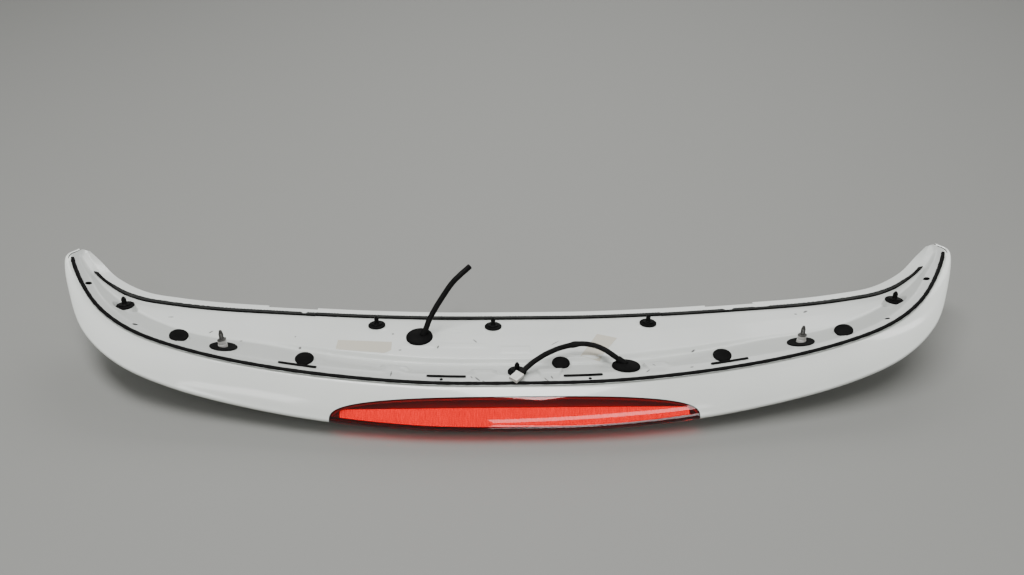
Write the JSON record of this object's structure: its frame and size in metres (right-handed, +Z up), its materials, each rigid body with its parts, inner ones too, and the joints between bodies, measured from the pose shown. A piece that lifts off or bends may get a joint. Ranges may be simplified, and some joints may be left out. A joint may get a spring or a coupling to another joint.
{
  "type": "car rear spoiler",
  "caption": "Painted car rear spoiler lying on its top skin: curved two-shell blade with recessed underside, high brake lamp, mounting studs, pin clips, plugs, seals, washer hose and harness.",
  "frame": {"origin": "middle of the footprint on the surface it lies on: bottom centre of the box", "axes": "+X along the width to the right seen from the trailing edge, +Y from the trailing edge to the leading edge, +Z up; the part lies upside down on its painted top skin"},
  "size_m": [1.264, 0.271, 0.1137],
  "materials": {
    "white_paint": "gloss white paint on moulded plastic",
    "panel_paint": "satin white paint on moulded plastic, lightly scuffed",
    "seal_rubber": "matt black",
    "foam": "closed-cell foam, matt black",
    "red_lens": "clear red, polished",
    "red_guide": "ribbed, translucent",
    "lamp_plastic": "matt dark",
    "board": "lacquered",
    "diode": "clear",
    "steel": "zinc plated, dulled",
    "spacer_plastic": "natural nylon",
    "clip_plastic": "matt black",
    "grommet_rubber": "matt black",
    "cord_rubber": "matt black",
    "connector_plastic": "off-white, scuffed",
    "felt": "black felt"
  },
  "bodies": {
    "root": {"outer_skin": "white_paint", "underside_panel": "panel_paint", "perimeter_seal": "seal_rubber", "front_foam_left": "foam", "front_foam_middle": "foam", "front_foam_right": "foam", "lamp_lens": "red_lens", "lamp_light_guide": "red_guide", "lamp_tray": "lamp_plastic", "lamp_gasket": "foam", "lamp_board": "board", "lamp_leds": "diode", "stud_left": "steel", "stud_right": "steel", "stud_spacer_left": "spacer_plastic", "stud_spacer_right": "spacer_plastic", "stud_pad_left": "foam", "stud_pad_right": "foam", "push_nut_left": "steel", "push_nut_right": "steel", "clip_wing_left": "clip_plastic", "clip_front_left": "clip_plastic", "clip_front_middle": "clip_plastic", "clip_front_right": "clip_plastic", "clip_wing_right": "clip_plastic", "clip_rear": "clip_plastic", "washer_wing_left": "foam", "washer_front_left": "foam", "washer_front_middle": "foam", "washer_front_right": "foam", "washer_wing_right": "foam", "washer_rear": "foam", "plug_outer_left": "grommet_rubber", "plug_inner_left": "grommet_rubber", "plug_centre": "grommet_rubber", "plug_inner_right": "grommet_rubber", "plug_outer_right": "grommet_rubber", "hose_grommet": "grommet_rubber", "harness_grommet": "grommet_rubber", "washer_hose": "cord_rubber", "harness_tube": "cord_rubber", "connector": "connector_plastic", "felt_outer_left": "felt", "felt_inner_left": "felt", "felt_inner_right": "felt", "felt_outer_right": "felt"}
  },
  "joints": []
}
